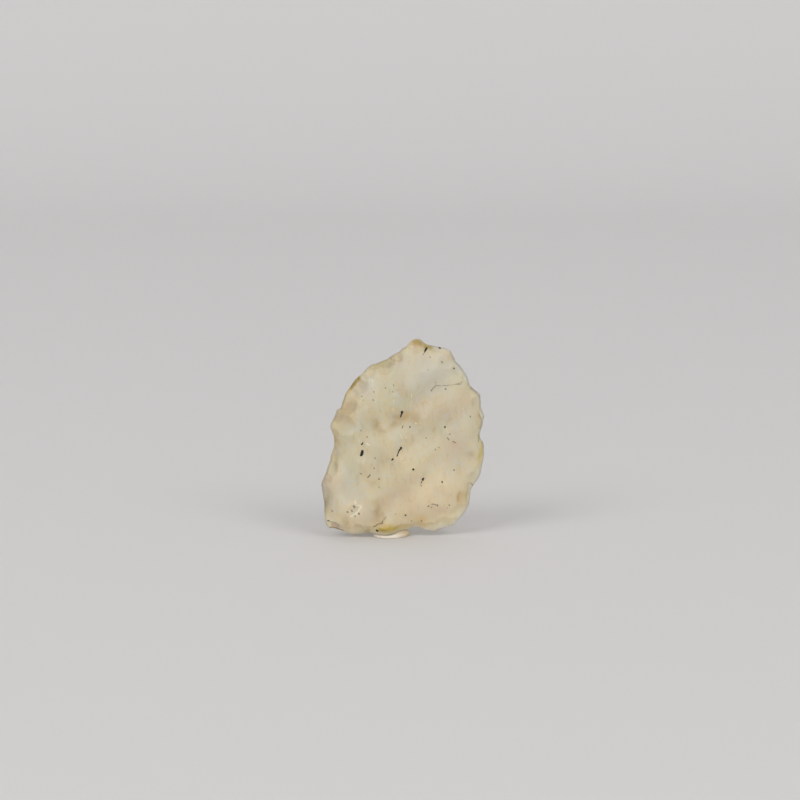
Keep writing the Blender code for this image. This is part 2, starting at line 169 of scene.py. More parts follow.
def chipScars(x, z, face):
    # Depth of the deepest scar, 1 - (sideways/width)^2 - (inwards/run)^2 from 0 to 1, the rings that the
    # blow left in it, sin(2*pi*distance from the blow / ring length), and a shade of its own from 0 to 1.
    deepest = np.zeros(len(x))
    rings = np.zeros(len(x))
    shade = np.zeros(len(x))
    shades = np.random.default_rng(flake["shadeSeed"]).uniform(0.0, 1.0, len(chips))
    for chip, following, own in zip(chips, np.roll(chips, -1, axis=0), shades):
        run = chip[3 + face]
        if run == 0.0:
            continue
        step = following[:2] - chip[:2]
        length = np.hypot(*step)
        along = step / length
        awayX = x - chip[0] - 0.5 * step[0]
        awayZ = z - chip[1] - 0.5 * step[1]
        sideways = awayX * along[0] + awayZ * along[1]
        inwards = awayX * along[1] - awayZ * along[0]
        width = flake["scarSpread"] * length + flake["scarWidens"][face] * run
        depth = 1.0 - (sideways / width) ** 2 - (inwards / run) ** 2
        turn = fullTurn * np.hypot(sideways, inwards) / flake["ripple"][0] + flake["rippleTurn"] * chip[2]
        ring = np.sin(turn) * np.clip(flake["rippleFade"] * depth, 0.0, 1.0)
        rings = np.where(depth > deepest, ring, rings)
        shade = np.where(depth > deepest, own * np.clip(flake["shadeFade"] * depth, 0.0, 1.0), shade)
        deepest = np.maximum(deepest, depth)
    return deepest, rings, shade


def cloud(x, z, size, seed):
    # Random heights from -1 to 1 on a turned square lattice, blended by 3t^2 - 2t^3 between its corners.
    cells = 256
    random = np.random.default_rng(seed)
    turn = random.uniform(0.0, fullTurn)
    heights = random.uniform(-1.0, 1.0, (cells, cells))
    column = (x * math.cos(turn) + z * math.sin(turn)) / size + cells / 2
    row = (z * math.cos(turn) - x * math.sin(turn)) / size + cells / 2
    i = np.floor(column).astype(int)
    j = np.floor(row).astype(int)
    u = column - i
    v = row - j
    u = u * u * (3.0 - 2.0 * u)
    v = v * v * (3.0 - 2.0 * v)
    i0, i1, j0, j1 = i % cells, (i + 1) % cells, j % cells, (j + 1) % cells
    low = heights[i0, j0] * (1.0 - u) + heights[i1, j0] * u
    high = heights[i0, j1] * (1.0 - u) + heights[i1, j1] * u
    return low * (1.0 - v) + high * v


def wandered(x, z, wander, seed):
    # Both coordinates moved by clouds, so that what is drawn with them gets an uneven outline. The rows of
    # wander are how far and how large a cloud, and each cloud has the next seed.
    moved = []
    for coordinate in (x, z):
        for reach, size in wander:
            coordinate = coordinate + reach * cloud(x, z, size, seed)
            seed += 1
        moved.append(coordinate)
    return moved


def waves(x, z, seed):
    # A few sines, each of its own length, direction and phase; a longer wave is a higher one.
    count, longest, shortest, steepness = flake["waves"]
    random = np.random.default_rng(seed)
    height = np.zeros(len(x))
    for number in range(count):
        length = longest * (shortest / longest) ** (number / (count - 1))
        direction = random.uniform(0.0, fullTurn)
        phase = random.uniform(0.0, fullTurn)
        along = x * math.cos(direction) + z * math.sin(direction)
        height += steepness * length * np.sin(fullTurn * along / length + phase)
    return height


def sandWear(x, z, seed):
    # Three sizes of dimple, and scattered pits of depth * (1 - (distance/radius)^2)^2, most of them small.
    height = np.zeros(len(x))
    for number, (size, high) in enumerate(flake["dimples"]):
        height += high * cloud(x, z, size, seed + flake["dimpleSeed"] + number)
    random = np.random.default_rng(seed + flake["pitSeed"])
    least, spread = flake["pitRadius"]
    for number in range(flake["pitCount"]):
        across = random.uniform(*flake["pitAcross"])
        up = random.uniform(*flake["pitUp"])
        radius = least + spread * random.random() ** 4
        away = ((x - across) ** 2 + (z - up) ** 2) / radius ** 2
        height -= flake["pitDepth"] * radius * np.clip(1.0 - away, 0.0, None) ** 2
    return height


def faceHeights(x, z):
    # Height of each face over the sheet between them: height * (1 - exp(-edge/run)), the back cut by long
    # facets, both bitten by the scars and worn by waves and hollows that fade out at the edge.
    edge = awayFromEdge(x, z)
    fade = edge / (edge + flake["edgeFade"])
    rises = [1.0 - np.exp(-edge / run) for run in flake["run"]]
    front, back = [height * (1.0 - thicker * x) * rise
                   for height, thicker, rise in zip(flake["height"], flake["thickerToLeft"], rises)]
    cuts = [back]
    for rest, across, upwards in flake["backFacets"]:
        cuts.append(rest + across * x + upwards * (z - flake["centreUp"]))
    cuts = np.stack(cuts)
    least = cuts.min(axis=0)
    soft = flake["facetSoftness"]
    back = least - soft * np.log(np.exp(-(cuts - least) / soft).sum(axis=0))
    back = np.maximum(back, flake["leastBack"] * flake["height"][1] * rises[1])
    heights, shades = [], []
    for face, height in enumerate((front, back)):
        seed = flake["seeds"][face]
        depth, rings, shade = chipScars(x, z, face)
        height = height * (1.0 - flake["scarDepth"] * depth)
        for across, up, halfWidth, halfHeight, deep in hollowPlaces[face]:
            away = ((x - across) / halfWidth) ** 2 + ((z - up) / halfHeight) ** 2
            height -= fade * deep * np.clip(1.0 - away, 0.0, None) ** 1.5
        height += fade * (waves(x, z, seed) + sandWear(x, z, seed) * (1.0 - flake["scarWear"] * depth))
        height += fade * flake["ripple"][1] * rings
        heights.append(height)
        shades.append(shade)
    return heights, shades, edge


def middleSheet(x, z):
    # turn*x + bow*(1 - ((z-centre)/centre)^2) - foot * a bell round the foot + two slow sines.
    forwards, across, width, rise = flake["foot"]
    centre = flake["centreUp"]
    bow = flake["bowBack"] * (1.0 - ((z - centre) / centre) ** 2)
    foot = forwards * np.exp(-((x - across) / width) ** 2 - (z / rise) ** 2)
    sines = sum(share * np.sin(perX * x + perZ * z + phase)
                for share, perX, perZ, phase in flake["wanderSines"])
    return flake["turnSlope"] * x + bow - foot + flake["edgeWander"] * sines


# Marks in the glass of the front, as short strokes: from (across, up) to (across, up), half width.
frontMarks = {
    "specks": np.array([
        (-7.30, 15.25, -7.10, 16.00, 0.20), (-7.22, 15.45, -7.16, 15.80, 0.24),
        (-0.22, 22.75, -0.22, 22.60, 0.19), (-0.24, 22.50, -0.42, 21.90, 0.09),
        (-0.40, 16.50, -0.36, 16.40, 0.18), (-0.55, 16.25, -0.85, 15.80, 0.10),
        (-0.85, 15.80, -1.00, 15.05, 0.08), (-1.80, 14.45, -1.84, 14.35, 0.16),
        (3.50, 10.70, 3.46, 10.55, 0.19), (3.30, 10.25, 3.22, 10.0, 0.06), (1.80, 12.72, 1.86, 12.64, 0.13),
        (4.08, 33.85, 3.92, 33.50, 0.15), (3.85, 33.30, 3.50, 32.85, 0.05),
        (6.40, 33.95, 6.50, 33.88, 0.14), (-4.65, 1.55, -4.50, 1.45, 0.20),
        (-7.15, 17.25, -7.00, 17.60, 0.11), (-13.0, 3.15, -13.2, 3.12, 0.09),
        (7.40, 20.0, 7.42, 19.9, 0.11), (8.90, 30.2, 8.94, 30.1, 0.10), (1.20, 20.1, 1.24, 20.0, 0.10),
        (6.90, 10.2, 6.96, 10.1, 0.10), (0.50, 4.30, 0.54, 4.25, 0.13), (4.48, 5.85, 4.52, 5.78, 0.12),
        (-8.68, 6.25, -8.50, 5.95, 0.10), (3.24, 9.60, 3.28, 9.50, 0.05),
    ]),
    "faint": np.array([
        (-6.20, 11.25, -5.75, 11.70, 0.12), (-6.30, 18.60, -6.26, 18.5, 0.10),
        (-7.40, 19.70, -7.34, 19.6, 0.08), (0.00, 20.35, -0.10, 20.05, 0.09),
        (0.10, 14.40, 0.14, 14.34, 0.10), (8.20, 18.6, 8.26, 18.5, 0.08), (7.80, 17.95, 8.05, 17.65, 0.07),
        (8.70, 17.3, 9.25, 17.05, 0.06), (6.30, 16.3, 6.36, 16.2, 0.09), (5.70, 16.1, 5.60, 15.9, 0.08),
        (9.00, 12.2, 9.10, 12.2, 0.10), (4.00, 18.0, 4.04, 17.95, 0.09), (-7.30, 12.0, -7.24, 11.95, 0.11),
        (-4.20, 11.05, -4.14, 10.9, 0.12), (-4.20, 9.6, -4.14, 9.5, 0.10), (-5.00, 12.9, -4.90, 12.9, 0.08),
        (-4.90, 14.7, -4.82, 14.6, 0.10), (-12.5, 5.20, -12.44, 5.10, 0.11), (5.00, 6.25, 6.00, 5.90, 0.07),
        (5.00, 5.60, 5.20, 5.55, 0.07), (7.80, 5.50, 7.86, 5.45, 0.08), (1.50, 3.10, 1.56, 3.00, 0.10),
        (3.20, 3.15, 3.24, 3.05, 0.10), (7.40, 26.8, 7.46, 26.7, 0.11), (5.00, 26.5, 5.04, 26.4, 0.10),
        (4.60, 32.5, 4.66, 32.4, 0.08), (11.7, 21.8, 11.74, 21.7, 0.09), (-5.20, 25.2, -5.14, 25.1, 0.09),
        (-6.90, 25.0, -6.84, 25.0, 0.07), (-7.10, 25.6, -7.05, 25.5, 0.07), (6.80, 31.7, 6.80, 31.3, 0.06),
        (4.40, 30.4, 4.44, 30.35, 0.08), (-1.60, 27.6, -1.55, 27.5, 0.08),
        (-3.10, 27.2, -3.05, 27.15, 0.08), (-5.10, 26.6, -5.05, 26.5, 0.08),
        (-1.80, 26.5, -1.75, 26.4, 0.08), (-2.00, 31.9, -1.95, 31.9, 0.07),
        (-1.30, 4.60, -1.25, 4.50, 0.08), (-9.05, 5.50, -8.92, 5.25, 0.12),
        (-9.80, 5.25, -9.70, 5.10, 0.11), (6.00, 5.95, 6.06, 5.80, 0.11), (-7.72, 4.90, -7.66, 4.75, 0.13),
        (-8.36, 4.40, -8.28, 4.25, 0.11), (8.10, 5.90, 8.16, 5.85, 0.10),
    ]),
    "fissures": np.array([
        (4.9, 26.5, 5.9, 27.5, 0.07), (5.9, 27.5, 7.3, 27.4, 0.06), (7.3, 27.4, 10.2, 27.5, 0.05),
        (5.85, 27.5, 5.80, 28.2, 0.05), (9.2, 27.45, 10.3, 27.8, 0.07), (-12.9, 3.1, -12.0, 3.1, 0.07),
        (-12.0, 3.1, -11.5, 3.0, 0.07), (-11.5, 3.0, -11.2, 2.6, 0.07), (-12.4, 3.0, -12.4, 2.1, 0.06),
        (-11.4, 2.6, -11.4, 1.9, 0.06), (-12.9, 1.75, -12.0, 1.75, 0.13), (-12.0, 1.75, -11.2, 1.50, 0.13),
        (-11.2, 1.50, -10.5, 1.20, 0.10), (-5.2, 2.1, -4.5, 2.6, 0.10), (-4.5, 2.6, -3.7, 2.95, 0.10),
        (-3.7, 2.90, -3.5, 3.35, 0.14), (-3.5, 3.4, -3.0, 4.2, 0.06), (11.9, 26.7, 13.4, 25.0, 0.06),
        (13.4, 25.0, 13.5, 22.8, 0.06), (13.4, 21.9, 13.9, 20.6, 0.06), (13.9, 20.6, 13.5, 19.2, 0.06),
        (13.4, 18.2, 13.3, 16.9, 0.08), (11.9, 9.5, 12.4, 8.9, 0.08),
    ]),
    # white marks of the star-shaped chip, and thin pale streaks; the star's white stands partly for real
    # bruised glass and partly for a painted glint off its facets
    "chalkAndGlint": np.array([
        (-8.40, 7.15, -8.36, 6.60, 0.15), (-8.10, 6.40, -7.70, 6.20, 0.18),
        (-7.35, 6.20, -7.28, 5.80, 0.20), (-7.62, 5.60, -7.90, 5.10, 0.22),
        (-8.00, 4.95, -8.35, 4.75, 0.17), (-8.50, 4.60, -9.15, 4.40, 0.12),
        (-9.10, 6.00, -8.95, 5.80, 0.06), (-9.20, 0.95, -9.20, 1.50, 0.07),
        (-8.70, 1.20, -8.65, 1.50, 0.08), (-4.40, 3.00, -4.30, 2.70, 0.06),
        (-1.65, 25.3, -1.65, 23.2, 0.01), (1.67, 26.7, 1.33, 23.4, 0.01), (0.55, 19.4, 0.50, 17.8, 0.0),
        (-7.70, 18.8, -7.70, 17.8, 0.0), (-1.70, 14.7, -0.60, 14.3, 0.03), (-5.40, 28.6, -5.30, 27.3, 0.05),
        (-2.30, 14.9, -2.15, 14.7, 0.03), (-6.30, 17.4, -5.70, 17.0, 0.05),
        (-0.40, 18.8, -0.30, 18.3, 0.07), (7.60, 19.5, 7.90, 18.9, 0.03), (2.00, 21.1, 2.30, 20.7, 0.05),
    ]),
}

# Coloured places in the glass, and a painted glow: soft ones as across, up, half width, half height, turn in
# degrees, strength.
zones = {
    # honey-coloured painted glow: a lighter, warmer colour over the lower part and the bottom rim, to offset
    # the shading of faces that turn down and to stand for light glowing through the glass
    "paintedGlow": np.array([
        (5.0, 8.0, 7.5, 6.5, 0, 0.50), (-0.5, 15.5, 5.5, 4.0, 0, 0.25), (2.5, 1.9, 4.5, 2.3, 0, 1.0),
        (8.0, 2.6, 3.0, 2.4, 0, 1.0), (-9.5, 1.7, 5.0, 2.2, 0, 1.0), (-4.5, 1.2, 3.0, 1.0, 0, 0.8),
        (-13.0, 3.0, 1.0, 1.8, 0, 0.7), (-7.5, 4.8, 3.0, 2.5, 0, 0.6),
    ]),
    "amber": np.array([
        (-2.6, 1.7, 1.9, 0.7, 0, 0.75), (0.4, 1.5, 1.2, 0.5, 0, 0.22), (3.9, 34.4, 0.6, 0.5, 0, 0.6),
        (13.9, 15.2, 0.5, 1.8, 0, 0.7), (10.4, 7.0, 0.8, 1.2, 0, 0.25),
    ]),
    "pale": np.array([
        (-13.7, 9.0, 1.0, 3.0, 0, 0.95), (10.5, 19.0, 4.0, 9.0, 0, 0.32), (-6.0, 27.4, 1.7, 2.2, -25, 0.75),
        (-5.4, 27.9, 0.5, 1.1, 0, 0.7), (-7.8, 21.0, 0.8, 1.5, 0, 0.45), (-6.1, 17.5, 0.9, 0.7, 0, 0.45),
        (-10.6, 13.2, 0.4, 0.9, 10, 0.7), (5.0, 29.6, 5.6, 4.4, 0, 0.75), (-9.8, 9.6, 2.6, 4.0, 0, 0.50),
        (6.8, 32.5, 1.5, 1.1, 20, 0.7), (9.2, 20.6, 0.6, 1.5, 10, 0.7), (10.2, 13.0, 0.6, 0.9, 0, 0.5),
        (-0.6, 18.6, 0.9, 1.2, 0, 0.5), (1.4, 20.2, 0.8, 0.6, 0, 0.5), (12.4, 23.3, 0.8, 2.4, 0, 0.5),
        (-8.4, 5.8, 1.6, 1.5, 0, 0.3), (-6.2, 5.0, 1.2, 2.4, 0, 0.35), (0.5, 30.5, 3.0, 3.0, 0, 0.5),
    ]),
    "rosy": np.array([
        (-12.2, 10.8, 1.3, 1.6, 0, 0.6), (11.0, 24.6, 1.6, 2.0, 0, 0.4), (10.8, 6.4, 0.7, 1.2, 0, 0.7),
        (-2.5, 6.8, 1.8, 1.4, 0, 0.5), (-6.5, 14.0, 1.6, 2.4, 0, 0.35), (0.8, 9.0, 2.4, 3.0, 0, 0.35),
        (8.0, 33.0, 0.9, 0.9, 0, 0.6), (9.8, 16.0, 1.5, 1.4, 0, 0.5), (6.0, 5.0, 2.6, 1.2, 0, 0.5),
        (-9.6, 23.6, 1.0, 1.0, 0, 0.4), (4.5, 22.6, 3.0, 1.6, 0, 0.3), (-3.4, 20.9, 0.5, 0.5, 0, 0.6),
    ]),
    "brown": np.array([
        (-4.9, 20.9, 0.7, 1.2, 0, 0.55), (-1.3, 20.8, 1.1, 0.8, 15, 0.55), (-0.4, 22.0, 1.8, 0.8, 0, 0.50),
        (2.2, 21.3, 1.5, 1.0, 35, 0.28), (-9.6, 22.3, 1.3, 0.9, 30, 0.4), (-8.2, 24.0, 0.9, 0.6, 0, 0.4),
        (-12.1, 17.4, 0.3, 1.4, 0, 0.7), (-13.6, 10.2, 0.4, 0.6, 0, 0.4), (12.1, 14.8, 0.8, 0.8, 0, 0.35),
        (-5.3, 10.1, 1.1, 1.0, 0, 0.35), (-4.3, 4.9, 0.7, 1.8, 0, 0.5), (-10.1, 3.0, 0.7, 1.3, 0, 0.45),
        (-0.3, 32.0, 0.8, 0.8, 0, 0.35), (2.4, 35.0, 1.3, 0.55, -10, 0.90), (-4.2, 3.3, 0.8, 0.9, 0, 0.4),
        (13.5, 21.2, 0.35, 1.6, 0, 0.5), (-3.4, 19.7, 1.5, 0.6, 0, 0.40),
    ]),
    "olive": np.array([
        (-11.8, 13.6, 0.4, 1.3, 0, 0.4), (2.6, 35.0, 1.2, 0.4, -15, 0.6), (4.5, 34.1, 0.9, 0.45, -15, 0.8),
        (-13.3, 6.2, 0.45, 2.2, 0, 0.5), (-6.5, 0.9, 0.8, 0.3, 0, 0.4), (11.5, 7.2, 0.3, 1.4, 0, 0.5),
        (12.3, 26.3, 1.0, 0.4, -45, 0.5), (8.2, 2.4, 1.3, 0.7, 10, 0.3), (-3.5, 31.0, 2.6, 0.7, 25, 0.25),
    ]),
    "ochre": np.array([
        (0.4, 2.2, 1.6, 0.6, 0, 0.4), (3.4, 3.0, 1.6, 1.3, 0, 0.7), (-3.0, 2.6, 1.4, 0.5, 0, 0.5),
        (4.0, 8.0, 7.5, 5.0, 0, 0.10), (9.8, 7.3, 0.35, 1.1, 0, 0.7), (13.8, 15.0, 0.5, 2.2, 0, 0.5),
        (-9.4, 26.0, 0.5, 0.8, 20, 0.3), (-4.0, 20.2, 0.6, 0.8, 0, 0.6), (0.6, 22.2, 1.6, 0.5, 0, 0.5),
    ]),
}

# Facets and thin clear places with an outline of their own: across, up, across, up, half width, strength.
patches = {
    "brown": np.array([
        (-11.7, 21.6, -8.6, 23.7, 0.75, 0.42), (-10.7, 24.1, -9.6, 26.2, 0.42, 0.85),
        (-5.2, 30.2, -1.6, 31.8, 0.50, 0.28), (7.7, 33.0, 8.4, 32.0, 0.40, 0.25),
        (-8.8, 3.3, -9.5, 1.8, 0.13, 0.36), (-8.6, 3.2, -7.2, 1.9, 0.13, 0.36),
        (-7.2, 1.9, -7.0, 1.1, 0.12, 0.32), (9.7, 8.1, 10.0, 6.8, 0.12, 0.45),
    ]),
    "olive": np.array([
        (-9.1, 26.7, -7.9, 28.6, 0.42, 0.95), (-3.9, 1.5, -2.2, 1.5, 0.25, 0.4),
    ]),
    "amber": np.array([
        (-3.9, 1.7, -1.6, 1.8, 0.45, 0.9), (-3.0, 2.3, -2.3, 2.5, 0.2, 0.7),
    ]),
    "ochre": np.array([
        (13.75, 16.6, 13.75, 13.4, 0.28, 0.7),
    ]),
    "rosy": np.array([
        (10.9, 7.4, 11.1, 6.2, 0.35, 0.6), (-12.4, 11.2, -12.7, 9.0, 0.5, 0.4),
        (-12.1, 2.8, -11.6, 2.2, 0.4, 0.8),
    ]),
}

marking = {
    "softness": 0.2,                # half the width of a mark's blurred outline
    "wander": ((0.05, 0.25), (0.10, 0.7)),
    "seed": 301,
    "patchSoftness": 0.22,
    "zoneWander": ((0.35, 1.6), (0.15, 0.5)),
    "zoneSeed": 311,
    "backSpecks": {                 # seed, how many, least half width, and how much the largest has more
        "specks": (51, 26, 0.10, 0.14),
        "faint": (52, 60, 0.07, 0.08),
    },
    "backAcross": (-13.0, 13.0),
    "backUp": (1.0, 34.0),
    "backLength": (0.05, 0.5),      # least, and how much the longest has more
}


def strokeField(x, z, strokes, soft):
    # 0.5 on a stroke's outline, 1 well inside and 0 well outside: 0.5 + (half width - distance) / (2*soft).
    farAway = 1e3
    nearest = np.full(len(x), farAway)
    for x1, z1, x2, z2, halfWidth in strokes:
        stepX, stepZ = x2 - x1, z2 - z1
        t = np.clip(((x - x1) * stepX + (z - z1) * stepZ) / (stepX ** 2 + stepZ ** 2), 0.0, 1.0)
        nearest = np.minimum(nearest, np.hypot(x - x1 - t * stepX, z - z1 - t * stepZ) - halfWidth)
    return np.clip(0.5 - nearest / (2.0 * soft), 0.0, 1.0)


def zoneField(x, z, places, outlined):
    # The strongest of several bells, strength * exp(-(across/half width)^2 - (up/half height)^2), and of the
    # outlined patches, strength times their stroke.
    field = np.zeros(len(x))
    for across, up, halfWidth, halfHeight, turn, strength in places:
        c, s = math.cos(math.radians(turn)), math.sin(math.radians(turn))
        u = ((x - across) * c + (z - up) * s) / halfWidth
        v = ((z - up) * c - (x - across) * s) / halfHeight
        field = np.maximum(field, strength * np.exp(-u * u - v * v))
    for *stroke, strength in outlined:
        field = np.maximum(field, strength * strokeField(x, z, [stroke], marking["patchSoftness"]))
    return field


def scatteredSpecks(seed, count, leastHalf, spreadHalf):
    # Short strokes at random, the same each run: most are small and a few are large.
    random = np.random.default_rng(seed)
    across = random.uniform(*marking["backAcross"], count)
    up = random.uniform(*marking["backUp"], count)
    turn = random.uniform(0.0, math.pi, count)
    leastLong, spreadLong = marking["backLength"]
    length = leastLong + spreadLong * random.random(count) ** 3
    halfWidth = leastHalf + spreadHalf * random.random(count) ** 4
    acrossEnd = across + length * np.cos(turn)
    upEnd = up + length * np.sin(turn)
    return np.stack((across, up, acrossEnd, upEnd, halfWidth), axis=1)


def addObject(name, data):
    thing = bpy.data.objects.new(name, data)
    bpy.context.scene.collection.objects.link(thing)
    return thing


def smoothMesh(name, points, faces):
    # A mesh in metres from points in millimetres.
    mesh = bpy.data.meshes.new(name)
    mesh.from_pydata([tuple(p) for p in (points * mm).tolist()], [], faces)
    mesh.polygons.foreach_set("use_smooth", np.ones(len(mesh.polygons), dtype=bool))
    return mesh


def meshPiece(name, points, faces, fields, material, node):
    # One closed mesh, with its fields kept as attributes of its points.
    mesh = smoothMesh(name, points, faces)
    for key, values in fields.items():
        attribute = mesh.attributes.new(key, "FLOAT", "POINT")
        attribute.data.foreach_set("value", values.astype(np.float32))
    mesh.materials.append(material)
    piece = addObject(name, mesh)
    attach(piece, "root")
    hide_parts(node)
    return piece


def ringFaces(rings, turned):
    # Four-sided faces between each ring of points and the next, turned over where they would face inwards.
    a, b = rings[:-1], np.roll(rings[:-1], -1, axis=1)
    c, d = np.roll(rings[1:], -1, axis=1), rings[1:]
    return np.stack((b, a, d, c) if turned else (a, b, c, d), axis=-1).reshape(-1, 4).tolist()


def fanFaces(ring, tip, turned):
    # Triangles from a ring of points to one point.
    following = np.roll(ring, -1)
    tips = np.full(len(ring), tip)
    return np.stack((following, ring, tips) if turned else (ring, following, tips), axis=-1).tolist()


def makeFlake(material):
    # Points centre + share * (edge - centre) on both faces; share 1 is the edge that the faces share.
    edge = evenLoop(edgeLoop(flake["edgeSpacing"]), flake["pointsRound"])
    centre = np.array((0.0, flake["centreUp"]))
    count = len(edge)
    even, growing = flake["ringSteps"]
    grids = [edge]
    for rings in flake["rings"]:
        t = np.arange(1, rings) / rings
        share = 1.0 - (even * t + growing * t * t)
        grid = centre + share[:, None, None] * (edge - centre)
        grids.append(np.concatenate((grid.reshape(-1, 2), centre[None, :])))
    backMarks = {key: scatteredSpecks(*row) for key, row in marking["backSpecks"].items()}
    sheets = []
    fieldParts = {key: [] for key in ("edgeAway", "chipShade", *frontMarks, *zones)}
    for grid, side in zip(grids, ("edge", "front", "back")):
        x, z = grid[:, 0], grid[:, 1]
        out = away = shade = np.zeros(count)
        if side != "edge":
            heights, shades, away = faceHeights(x, z)
            out, shade = (-heights[0], shades[0]) if side == "front" else (heights[1], shades[1])
        sheets.append(np.stack((x, middleSheet(x, z) + out, z), axis=1))
        fieldParts["edgeAway"].append(away)
        fieldParts["chipShade"].append(shade)
        marks = backMarks if side == "back" else frontMarks
        markX, markZ = wandered(x, z, marking["wander"], marking["seed"])
        for key in frontMarks:
            fieldParts[key].append(strokeField(markX, markZ, marks.get(key, ()), marking["softness"]))
        zoneX, zoneZ = wandered(x, z, marking["zoneWander"], marking["zoneSeed"])
        for key, places in zones.items():
            fieldParts[key].append(zoneField(zoneX, zoneZ, places, patches.get(key, ())))
    points = np.concatenate(sheets)
    points[:, 1] += flake["sheetBack"]
    low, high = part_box("desert_glass")
    points = np.clip(points, np.array(low) / mm, np.array(high) / mm)
    faces = []
    start = count
    for rings, turned in zip(flake["rings"], (True, False)):
        tip = start + (rings - 1) * count
        inner = np.arange(start, tip).reshape(rings - 1, count)
        rows = np.concatenate((np.arange(count)[None, :], inner))
        faces += ringFaces(rows, turned) + fanFaces(rows[-1], tip, turned)
        start = tip + 1
    fields = {key: np.concatenate(values) for key, values in fieldParts.items()}
    return meshPiece("desert_glass_flake", points, faces, fields, material, "desert_glass")


putty = {
    "across": -2.07,
    "back": 1.0,
    "halfWidth": 3.15,
    "halfDepth": 2.9,
    "height": 1.05,
    "heightSlope": 0.13,
    "edgeHeight": 0.32,
    "flatShare": 0.94,
    "lobe": 0.035,
    "lobes": ((1.0, 2.0, 0.6), (0.6, 3.0, 2.0)),    # share, how many round, phase
    "kneading": ((0.05, 1.3), (0.02, 0.45)),        # height and size of the unevenness
    "kneadingSeed": 71,
    "clear": 0.03,                  # what stays between the putty and the glass
    "least": 0.02,
    "glassShadowEnd": (0.8, 2.2),          # where the painted shade on the right end begins, and over how many mm it grows full
    "pointsRound": 144,
    "rings": (4, 9, 34),            # under, side, top
    "searchFrom": 0.3,
    "searchUp": 3.2,
    "searchStep": 0.05,
}


def underside(x, y):
    # The lowest height at which the flake is above each point, searched upwards in equal steps.
    levels = np.arange(putty["searchFrom"], putty["searchUp"], putty["searchStep"])
    gridX = np.repeat(x, len(levels))
    gridY = np.repeat(y, len(levels))
    gridZ = np.tile(levels, len(x))
    front, back = faceHeights(gridX, gridZ)[0]
    middle = middleSheet(gridX, gridZ)
    inside = np.zeros(len(gridX), dtype=bool)
    for (x1, z1), (x2, z2) in zip(edgeFine, np.roll(edgeFine, -1, axis=0)):
        if z1 != z2 and min(z1, z2) < putty["searchUp"]:
            spans = (z1 > gridZ) != (z2 > gridZ)
            inside ^= spans & (gridX < x1 + (gridZ - z1) * (x2 - x1) / (z2 - z1))
    solid = inside & (gridY > middle - front) & (gridY < middle + back)
    heights = np.where(solid, gridZ, putty["searchUp"]).reshape(len(x), len(levels))
    return heights.min(axis=1)


def makePutty(material):
    # A squashed dome: rings of half width * share * (1 + lobes) round its middle, flat below, a rolled side,
    # and a top that follows the dome or the print of the glass, whichever is lower.
    under, side, top = putty["rings"]
    flat = putty["flatShare"]
    low = putty["edgeHeight"]
    share = [flat * (n + 1) / under for n in range(under)]
    level = [0.0] * under
    turn = quarterTurn * (np.arange(1, side + 1) / side - 1.0)
    share += list(flat + (1.0 - flat) * np.cos(turn))
    level += list(low * (1.0 + np.sin(turn)))
    turn = quarterTurn * np.arange(1, top) / top
    share += list(np.cos(turn))
    level += list(low + (1.0 - low) * np.sin(turn))
    count = putty["pointsRound"]
    angle = fullTurn * np.arange(count) / count
    lobes = 1.0 + putty["lobe"] * sum(part * np.sin(number * angle + phase)
                                      for part, number, phase in putty["lobes"])
    share = np.array(share)[:, None]
    x = (putty["halfWidth"] * share * lobes * np.cos(angle)).ravel()
    y = (putty["halfDepth"] * share * lobes * np.sin(angle)).ravel()
    level = np.repeat(np.array(level), count)
    x = np.concatenate(([0.0], x, [0.0]))
    y = np.concatenate(([0.0], y, [0.0]))
    level = np.concatenate(([0.0], level, [1.0]))
    z = level * (putty["height"] + putty["heightSlope"] * x)
    x = x + putty["across"]
    y = y + putty["back"]
    kneaded = sum(high * cloud(x, y, size, putty["kneadingSeed"] + number)
                  for number, (high, size) in enumerate(putty["kneading"]))
    z = np.minimum(z + level * kneaded, underside(x, y) - putty["clear"])
    z = np.where(level > 0.0, np.clip(z, putty["least"], None), 0.0)
    rows = 1 + np.arange(len(share) * count).reshape(len(share), count)
    faces = ringFaces(rows, False) + fanFaces(rows[0], 0, True) + fanFaces(rows[-1], rows[-1, -1] + 1, False)
    # painted shade: the right end, under the glass, is tinted darker and yellower for the glass's shadow on
    # it and the light coming through the glass
    begins, shadowRamp = putty["glassShadowEnd"]
    glassShadowEnd = np.clip((x - putty["across"] - begins) / shadowRamp, 0.0, 1.0)
    points = np.stack((x, y + flake["sheetBack"], z), axis=1)
    low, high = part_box("putty_pad")
    points[:, :2] = np.clip(points[:, :2], np.array(low)[:2] / mm, np.array(high)[:2] / mm)
    return meshPiece("putty_dab", points, faces, {"glassShadowEnd": glassShadowEnd}, material, "putty_pad")


def linear(code):
    # An sRGB hex code as linear red, green, blue and alpha.
    values = [int(code[i:i + 2], 16) / 255.0 for i in (1, 3, 5)]
    return (*[v / 12.92 if v <= 0.04045 else ((v + 0.055) / 1.055) ** 2.4 for v in values], 1.0)


def perMetre(size):
    # The scale of a pattern whose parts are size millimetres across.
    return 1.0 / (size * mm)


def newMaterial(name):
    material = bpy.data.materials.new(name)
    material.use_nodes = True
    material.node_tree.nodes.clear()
    return material


def addNode(material, kind, links=None, inputs=None, **settings):
    # Adds one node, with its settings, its plain values and its links, each from a node's output socket.
    node = material.node_tree.nodes.new(kind)
    for key, value in settings.items():
        setattr(node, key, value)
    for key, value in (inputs or {}).items():
        node.inputs[key].default_value = value
    for key, socket in (links or {}).items():
        material.node_tree.links.new(socket, node.inputs[key])
    return node


rangeEnds = ("From Min", "From Max", "To Min", "To Max")
mixShare, mixUnder, mixOver, mixResult = 0, 6, 7, 2     # a Mix node's sockets for colours
whole = (0.0, 1.0, 0.0, 1.0)

